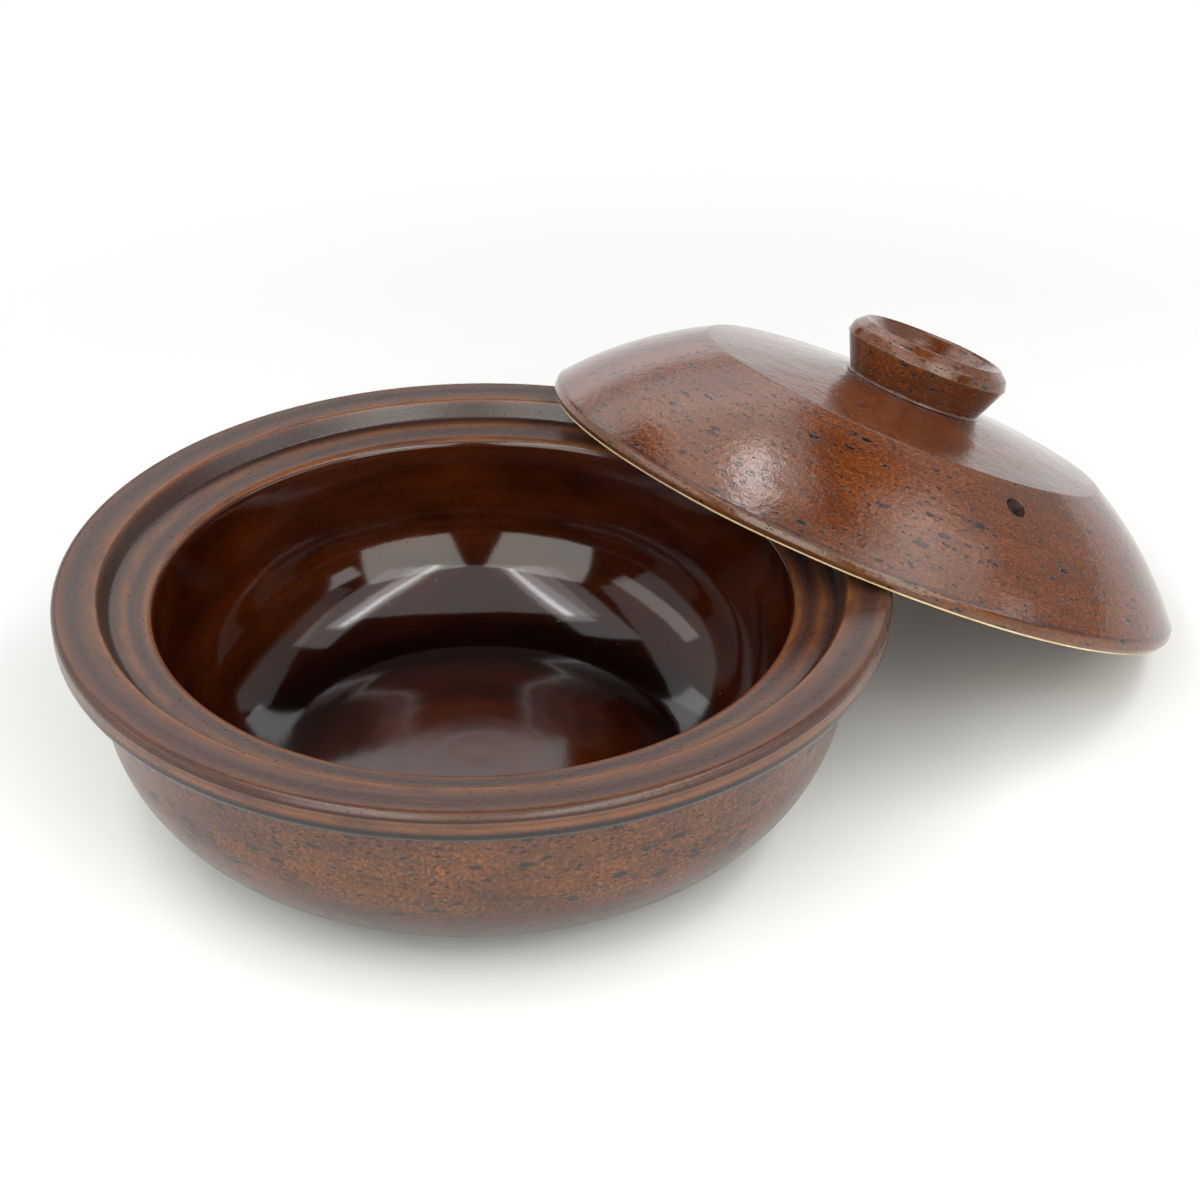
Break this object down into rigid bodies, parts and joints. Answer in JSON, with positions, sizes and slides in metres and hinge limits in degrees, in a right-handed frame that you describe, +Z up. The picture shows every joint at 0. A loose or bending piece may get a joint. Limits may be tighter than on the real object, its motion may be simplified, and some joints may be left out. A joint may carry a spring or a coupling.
{
  "type": "donabe clay pot",
  "caption": "Glazed clay cooking pot with a wide flanged rim and a seat for its domed lid, which is off and leans against the rim.",
  "frame": {"origin": "on the pot's axis, at the table under the middle of its foot ring", "axes": "+Z up along the pot's axis, +X from the pot towards the side where the lid leans, +Y across"},
  "size_m": [0.4356, 0.2896, 0.1306],
  "materials": {
    "pot_glaze": "brown iron glaze, satin outside and glossy inside",
    "lid_glaze": "glossy reddish brown iron glaze with dark specks",
    "knob_glaze": "glossy brown iron glaze, darker on the cone"
  },
  "bodies": {
    "pot": {"pot": "pot_glaze"},
    "lid": {"lid": "lid_glaze", "knob": "knob_glaze"}
  },
  "joints": [
    {"name": "lid_lift", "type": "slide", "parent": "pot", "child": "lid", "axis": [0, 0, 1], "range_m": [0, 0.25]}
  ]
}
